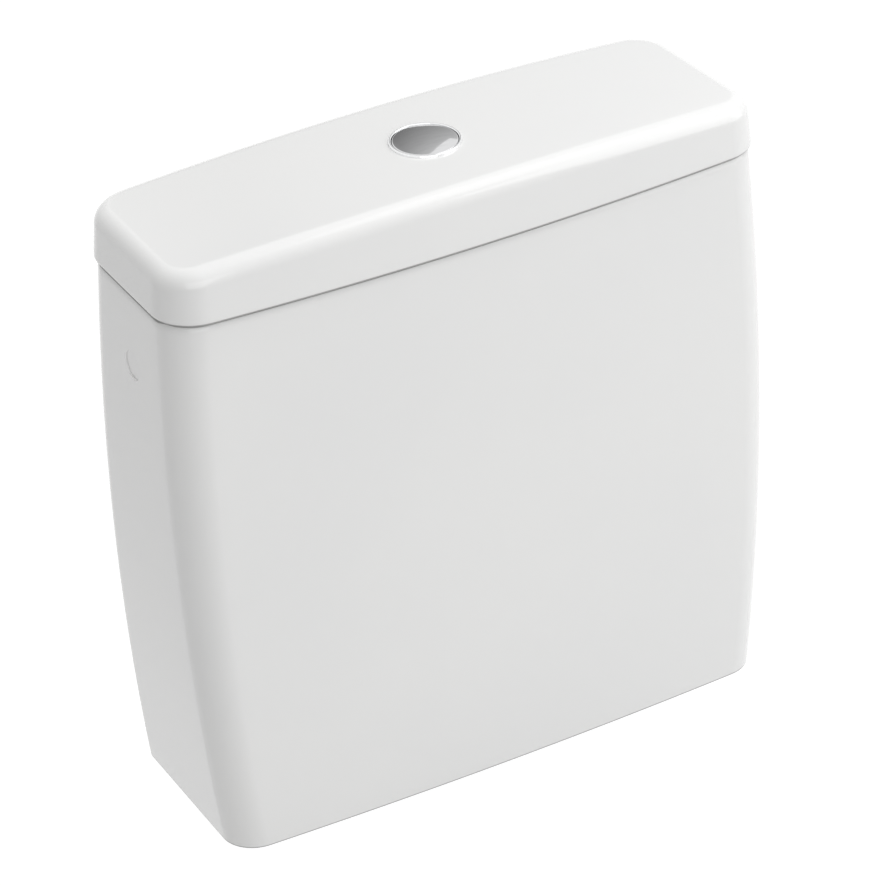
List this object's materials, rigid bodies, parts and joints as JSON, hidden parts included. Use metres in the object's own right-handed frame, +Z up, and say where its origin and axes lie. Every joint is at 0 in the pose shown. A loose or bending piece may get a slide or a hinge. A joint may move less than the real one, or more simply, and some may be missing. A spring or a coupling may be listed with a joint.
{
  "type": "toilet cistern",
  "caption": "Slim close-coupled ceramic toilet cistern with a crowned lift-off lid, chromed top push button, flush valve, fill valve and coupling bolts.",
  "frame": {"origin": "on the flush outlet's axis in the plane of the tank's base, midway between the two coupling bolts", "axes": "+X to the right seen from the front, +Y back towards the wall, +Z up"},
  "size_m": [0.3888, 0.1306, 0.4308],
  "materials": {
    "china": "white glazed vitreous china",
    "chromed_plastic": "polished chrome plate on plastic",
    "white_plastic": "moulded white plastic",
    "grey_plastic": "moulded grey plastic",
    "blue_plastic": "moulded blue plastic",
    "rubber": "black moulded rubber",
    "sponge": "dark cellular rubber",
    "steel": "bright stainless steel",
    "brass": "plain brass"
  },
  "bodies": {
    "cistern": {"tank": "china", "valve_base": "white_plastic", "base_gasket": "rubber", "valve_backnut": "white_plastic", "sponge_ring": "sponge", "valve_tower": "white_plastic", "valve_bracket": "white_plastic", "rocker_pin": "steel", "fill_column": "white_plastic", "inlet_strainer": "grey_plastic", "inlet_washer": "rubber", "inlet_under_washer": "rubber", "inlet_locknut": "white_plastic", "discharge_tube": "white_plastic", "fill_head": "white_plastic", "diaphragm": "rubber", "fill_cap": "grey_plastic", "lever_pin": "steel", "bolt_left": "brass", "bolt_right": "brass", "cone_washer_left": "rubber", "cone_washer_right": "rubber", "bolt_washer_left": "steel", "bolt_washer_right": "steel"},
    "cover": {"lid": "china", "button_bezel": "chromed_plastic", "bezel_nut": "white_plastic", "button_spring": "steel"},
    "button": {"button_cap": "chromed_plastic", "button_retainer": "steel", "push_rod": "white_plastic"},
    "rocker_arm": {"rocker": "blue_plastic"},
    "lifter": {"lift_tube": "grey_plastic", "lift_yoke": "blue_plastic", "flush_seal": "rubber", "seal_clamp": "grey_plastic", "tube_float": "white_plastic"},
    "fill_float": {"float_cup": "grey_plastic", "float_rod": "white_plastic", "rod_nut_lower": "blue_plastic", "rod_nut_upper": "blue_plastic"},
    "fill_lever": {"float_lever": "blue_plastic"}
  },
  "joints": [
    {"name": "lid_lift", "type": "slide", "parent": "cistern", "child": "cover", "axis": [0, 0, 1], "range_m": [0, 0.2]},
    {"name": "button_press", "type": "slide", "parent": "cover", "child": "button", "axis": [0, 0, -1], "range_m": [0, 0.01], "stiffness_N_per_m": 300, "springref_m": -0.01, "deforming": ["button_spring"]},
    {"name": "rocker_turn", "type": "hinge", "parent": "cistern", "child": "rocker_arm", "pos_m": [0.024, 0, 0.275], "axis": [0, -1, 0], "range_deg": [0, 23.6]},
    {"name": "valve_lift", "type": "slide", "parent": "cistern", "child": "lifter", "axis": [0, 0, 1], "range_m": [0, 0.00834]},
    {"name": "float_rise", "type": "slide", "parent": "cistern", "child": "fill_float", "axis": [0, 0, 1], "range_m": [0, 0.01]},
    {"name": "float_lever_turn", "type": "hinge", "parent": "cistern", "child": "fill_lever", "pos_m": [0.116, 0.006, 0.246], "axis": [0, 1, 0], "range_deg": [0, 22.7]}
  ],
  "couplings": [
    {"joint": "rocker_turn", "follows": "button_press", "rad_per_m": 41.079},
    {"joint": "valve_lift", "follows": "button_press", "ratio": 0.83333},
    {"joint": "float_lever_turn", "follows": "float_rise", "rad_per_m": 39.479}
  ]
}
